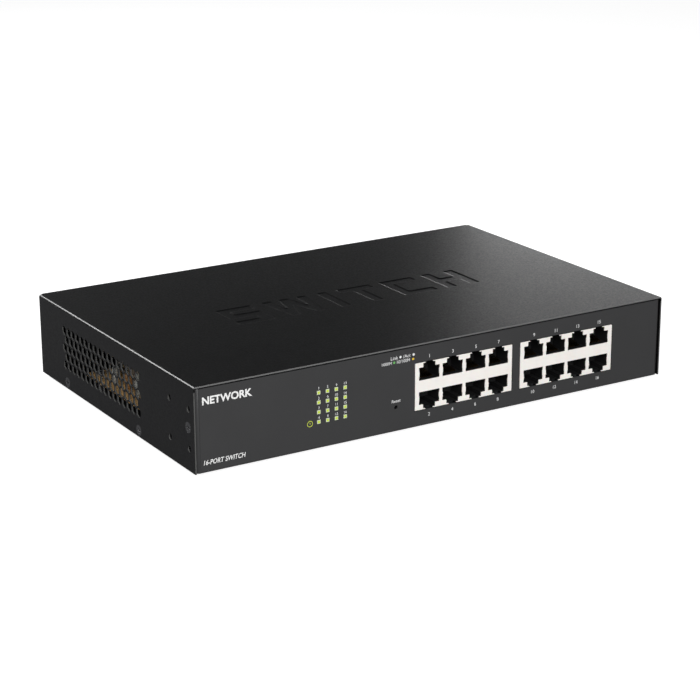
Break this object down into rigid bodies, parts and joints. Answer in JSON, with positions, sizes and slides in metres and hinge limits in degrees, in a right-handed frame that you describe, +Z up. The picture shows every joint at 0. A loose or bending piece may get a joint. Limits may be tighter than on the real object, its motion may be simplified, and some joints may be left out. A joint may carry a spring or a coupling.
{
  "type": "desktop network switch",
  "caption": "Low black steel case with a grey front panel, two cream blocks of network ports, a grid of lamps, honeycomb side vents and a rear mains inlet.",
  "frame": {"origin": "middle of the footprint, on the surface that the feet stand on", "axes": "+X to the right as seen from the ports, +Y to the back, +Z up"},
  "size_m": [0.28, 0.182, 0.0456],
  "materials": {
    "case_paint": "fine-textured black powder coat",
    "panel_film": "matt printed polyester film, dark grey",
    "foot_rubber": "matt black rubber",
    "black_screw": "black oxide steel",
    "zinc_steel": "zinc-plated steel",
    "board_black": "black solder mask",
    "port_cream": "cream moulded nylon, satin",
    "black_plastic": "black moulded plastic",
    "contact_gold": "gold-plated spring bronze",
    "chip_black": "black epoxy",
    "bare_aluminium": "extruded aluminium",
    "lamp_green": "yellow-green lit lens",
    "tinned_wire": "tinned wire",
    "supply_tan": "bare tan phenolic paper board",
    "insulating_film": "black insulating sheet",
    "white_plastic": "white nylon",
    "fuse_glass": "clear glass",
    "capacitor_yellow": "yellow plastic box",
    "ferrite": "dark grey ferrite",
    "winding_tape": "yellow polyester tape",
    "can_sleeve": "dark sleeve on an aluminium can",
    "mains_insulation": "black PVC insulation",
    "earth_insulation": "green and yellow PVC insulation",
    "dc_insulation": "red and black PVC insulation",
    "nickel": "nickel-plated brass"
  },
  "bodies": {
    "case": {"base_chassis": "case_paint", "top_cover": "case_paint", "front_film": "panel_film", "rubber_feet": "foot_rubber", "cover_screws": "black_screw", "cover_nuts": "zinc_steel", "bracket_nuts": "zinc_steel", "main_board": "board_black", "board_standoffs": "zinc_steel", "board_screws": "zinc_steel", "jack_face_left": "port_cream", "jack_block_left": "black_plastic", "contact_carriers_left": "black_plastic", "jack_contacts_left": "contact_gold", "jack_face_right": "port_cream", "jack_block_right": "black_plastic", "contact_carriers_right": "black_plastic", "jack_contacts_right": "contact_gold", "port_magnetics": "chip_black", "switch_chip": "chip_black", "switch_heatsink": "bare_aluminium", "phy_chips": "chip_black", "flash_chip": "chip_black", "clock_crystal": "nickel", "board_capacitors": "can_sleeve", "power_inductors": "ferrite", "board_power_header": "white_plastic", "led_lenses": "lamp_green", "led_holder": "black_plastic", "power_light_pipe": "lamp_green", "led_leads": "tinned_wire", "reset_switch_body": "black_plastic", "reset_switch_frame": "zinc_steel", "reset_dome": "nickel", "psu_insulator": "insulating_film", "psu_board": "supply_tan", "psu_standoffs": "zinc_steel", "psu_screws": "zinc_steel", "mains_header": "white_plastic", "fuse_tube": "fuse_glass", "fuse_clips": "nickel", "x_capacitor": "capacitor_yellow", "common_mode_choke": "ferrite", "bulk_capacitor": "can_sleeve", "transformer_core": "ferrite", "transformer_winding": "winding_tape", "switching_heatsink": "bare_aluminium", "switching_transistor": "chip_black", "output_capacitors": "can_sleeve", "psu_output_header": "white_plastic", "dc_cable": "dc_insulation", "ac_inlet": "black_plastic", "inlet_blades": "nickel", "inlet_screws": "zinc_steel", "mains_leads": "mains_insulation", "earth_lead": "earth_insulation", "earth_lug": "nickel", "earth_screws": "zinc_steel", "ground_screw": "zinc_steel"},
    "reset_button": {"reset_plunger": "black_plastic"}
  },
  "joints": [
    {"name": "reset_press", "type": "slide", "parent": "case", "child": "reset_button", "axis": [0, 1, 0], "range_m": [0, 0.00025], "stiffness_N_per_m": 3000, "springref_m": -0.0003}
  ]
}
